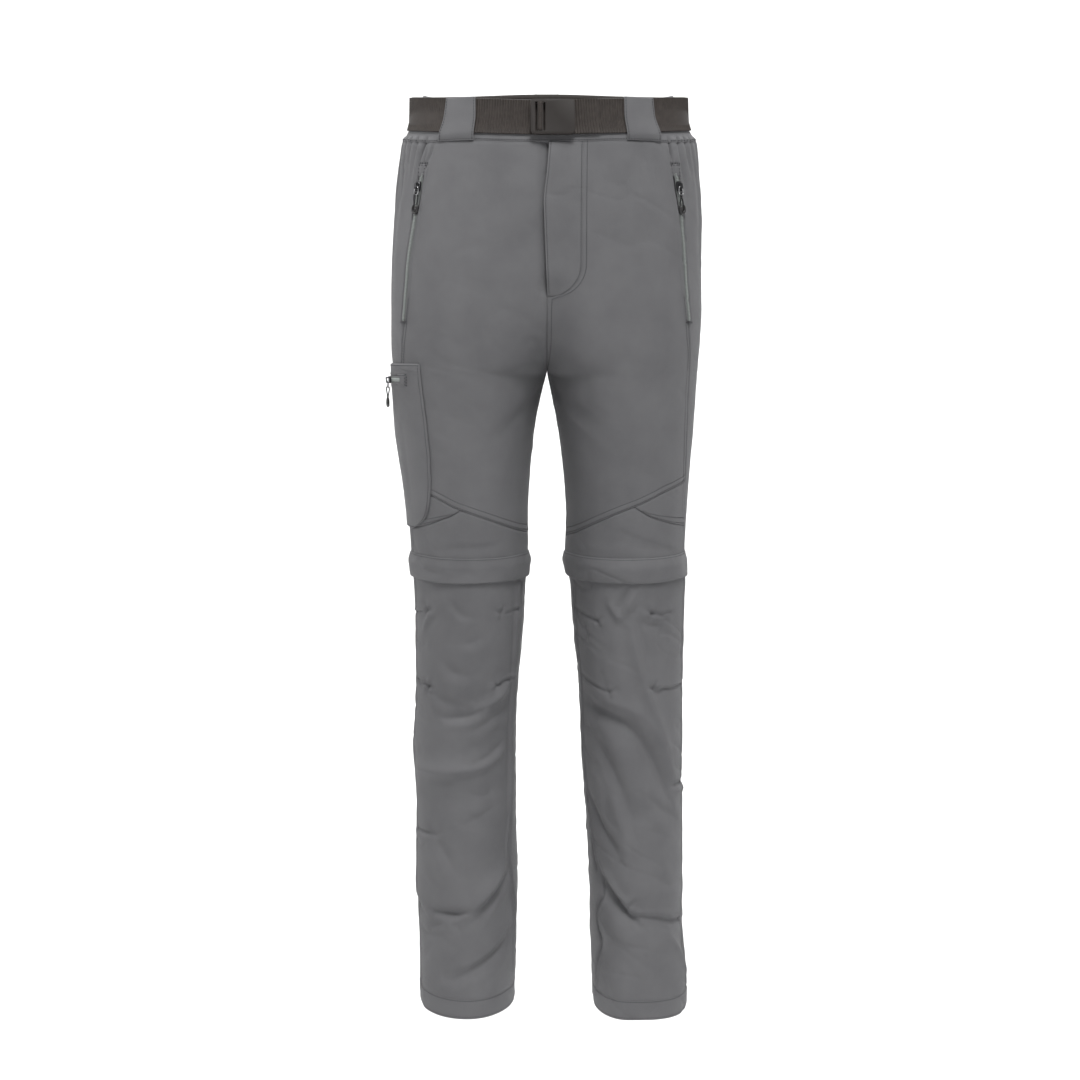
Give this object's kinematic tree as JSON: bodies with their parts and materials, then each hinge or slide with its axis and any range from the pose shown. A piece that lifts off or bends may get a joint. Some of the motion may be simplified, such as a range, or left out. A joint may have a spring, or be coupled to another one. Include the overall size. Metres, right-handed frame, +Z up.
{
  "type": "convertible zip-off trousers",
  "caption": "Long straight trousers in worn form, zip-off at the knees under flaps, with webbing belt, clip buckle, belt loops, zipped hand pockets and a thigh pocket.",
  "frame": {"origin": "middle of the waist opening, level with its top edge at the sides, where the wearer's waist holds the trousers", "axes": "+Z up, -Y is the front, -X is the wearer's right"},
  "size_m": [0.3581, 0.2617, 1.0637],
  "materials": {
    "cloth": "matt plain-weave nylon, mid grey",
    "webbing": "ribbed webbing, dark brown grey",
    "buckle": "moulded plastic, dark brown grey",
    "zip_tape": "woven tape with a moulded coil, greenish grey",
    "slider_metal": "dark painted metal",
    "ring_metal": "satin metal",
    "pull_cord": "braided black cord",
    "pull_grip": "moulded dark grey grip"
  },
  "bodies": {
    "trousers": {"front_right": "cloth", "back_right": "cloth", "side_wedge_right": "cloth", "knee_panel_right": "cloth", "front_left": "cloth", "back_left": "cloth", "side_wedge_left": "cloth", "knee_panel_left": "cloth", "fly": "cloth", "knee_zip_right": "zip_tape", "knee_slider_right": "slider_metal", "knee_flap_right": "cloth", "knee_zip_left": "zip_tape", "knee_slider_left": "slider_metal", "knee_flap_left": "cloth", "lower_front_right": "cloth", "lower_back_right": "cloth", "hem_right": "cloth", "lower_front_left": "cloth", "lower_back_left": "cloth", "hem_left": "cloth", "waistband": "cloth", "belt": "webbing", "loop_front_right": "cloth", "loop_front_left": "cloth", "loop_back_right": "cloth", "loop_back_left": "cloth", "loop_back_middle": "cloth", "buckle": "buckle", "cargo_pocket": "cloth", "pocket_zip_right": "zip_tape", "pocket_right_slider": "slider_metal", "pocket_zip_left": "zip_tape", "pocket_left_slider": "slider_metal", "cargo_zip": "zip_tape", "cargo_slider": "slider_metal"},
    "pull_right": {"pocket_right_ring": "ring_metal", "pocket_right_cord": "pull_cord", "pocket_right_grip": "pull_grip"},
    "pull_left": {"pocket_left_ring": "ring_metal", "pocket_left_cord": "pull_cord", "pocket_left_grip": "pull_grip"},
    "pull_cargo": {"cargo_ring": "ring_metal", "cargo_cord": "pull_cord", "cargo_grip": "pull_grip"}
  },
  "joints": [
    {"name": "pull_right_swing", "type": "hinge", "parent": "trousers", "child": "pull_right", "pos_m": [-0.14389, -0.07924, -0.11234], "axis": [-0.6582, 0.7529, 0], "range_deg": [0, 150]},
    {"name": "pull_left_swing", "type": "hinge", "parent": "trousers", "child": "pull_left", "pos_m": [0.14684, -0.07899, -0.11241], "axis": [-0.6697, -0.7426, 0], "range_deg": [0, 150]},
    {"name": "pull_cargo_swing", "type": "hinge", "parent": "trousers", "child": "pull_cargo", "pos_m": [-0.17969, -0.03174, -0.32572], "axis": [-0.2007, 0.9797, 0], "range_deg": [0, 150]}
  ]
}
